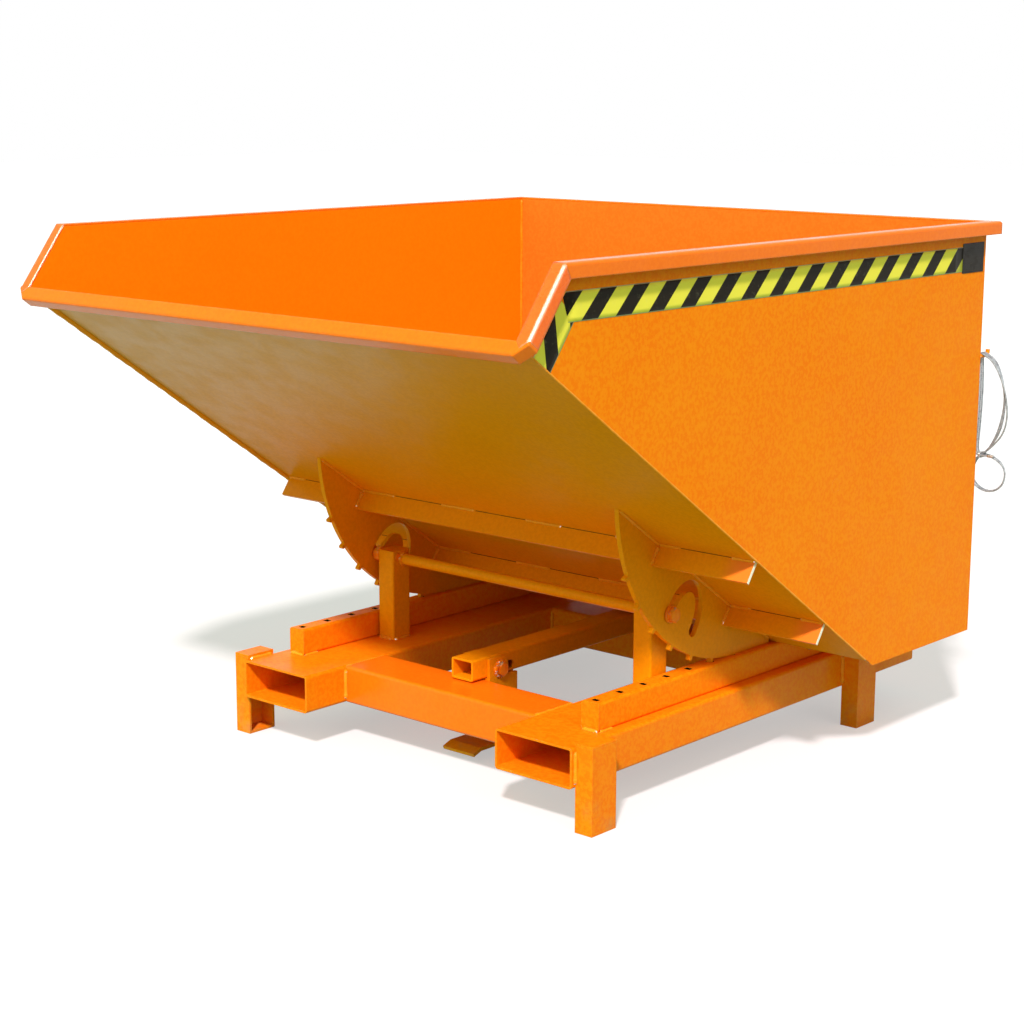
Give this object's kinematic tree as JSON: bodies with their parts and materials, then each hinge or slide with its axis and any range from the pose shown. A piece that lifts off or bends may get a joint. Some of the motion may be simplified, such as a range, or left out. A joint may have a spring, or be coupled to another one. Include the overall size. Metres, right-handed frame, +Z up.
{
  "type": "tipping skip",
  "caption": "Roll-forward tipping skip: sheet steel hopper with toothed rocker plates on slotted rails of a fork-pocket base, with sliding lock bar and cable hank.",
  "frame": {"origin": "on the ground, below the middle of the skip's own length and width", "axes": "+X across, -Y towards the tipping lip, +Z up"},
  "size_m": [1.5472, 1.7938, 1.224],
  "materials": {
    "orange_paint": "satin",
    "zinc": "worn zinc",
    "wire_rope": "galvanised",
    "hazard_tape": "yellow and black diagonal stripes",
    "black_plate": "plain black"
  },
  "bodies": {
    "base": {"foot_front_left": "orange_paint", "foot_front_right": "orange_paint", "foot_plates": "orange_paint", "foot_rear_left": "orange_paint", "foot_rear_right": "orange_paint", "fork_pocket_left": "orange_paint", "fork_pocket_right": "orange_paint", "front_cross_tube": "orange_paint", "guide_bushes": "orange_paint", "guide_nuts": "orange_paint", "guide_pin_left": "orange_paint", "guide_pin_right": "orange_paint", "guide_washers": "orange_paint", "lock_bolt": "zinc", "lock_ears": "orange_paint", "lock_nut": "zinc", "lock_saddle": "orange_paint", "lock_strap": "orange_paint", "post_caps": "orange_paint", "post_left": "orange_paint", "post_right": "orange_paint", "rail_bolts": "zinc", "rail_caps": "orange_paint", "rail_left": "orange_paint", "rail_right": "orange_paint", "rear_cross_tube": "orange_paint", "tie_bar": "orange_paint"},
    "roll_carrier": {"roll_plugs": "orange_paint"},
    "hopper": {"cable_band": "wire_rope", "cable_ferrules": "wire_rope", "cable_hank": "wire_rope", "cable_hook": "orange_paint", "floor_plate": "orange_paint", "hazard_tape_left": "hazard_tape", "hazard_tape_right": "hazard_tape", "lock_keepers": "orange_paint", "plain_plate": "black_plate", "rear_wall": "orange_paint", "rim_left": "orange_paint", "rim_lip": "orange_paint", "rim_rear": "orange_paint", "rim_right": "orange_paint", "rim_slant_left": "orange_paint", "rim_slant_right": "orange_paint", "rocker_left": "orange_paint", "rocker_right": "orange_paint", "side_wall_left": "orange_paint", "side_wall_right": "orange_paint", "slope_plate": "orange_paint", "stiffener_lower_left": "orange_paint", "stiffener_lower_middle": "orange_paint", "stiffener_lower_right": "orange_paint", "stiffener_upper_left": "orange_paint", "stiffener_upper_middle": "orange_paint", "stiffener_upper_right": "orange_paint"},
    "lock": {"lock_bar": "orange_paint", "lock_tongue": "orange_paint", "bump_plate": "orange_paint"}
  },
  "joints": [
    {"name": "roll_travel", "type": "slide", "parent": "base", "child": "roll_carrier", "axis": [0, -1, 0], "range_m": [0, 0.48782]},
    {"name": "tip", "type": "hinge", "parent": "roll_carrier", "child": "hopper", "pos_m": [0, 0.17132, 0.68], "axis": [1, 0, 0], "range_deg": [0, 65]},
    {"name": "lock_slide", "type": "slide", "parent": "base", "child": "lock", "axis": [0, -1, 0], "range_m": [0, 0.045]}
  ],
  "couplings": [
    {"joint": "roll_travel", "follows": "tip", "m_per_rad": 0.43}
  ]
}
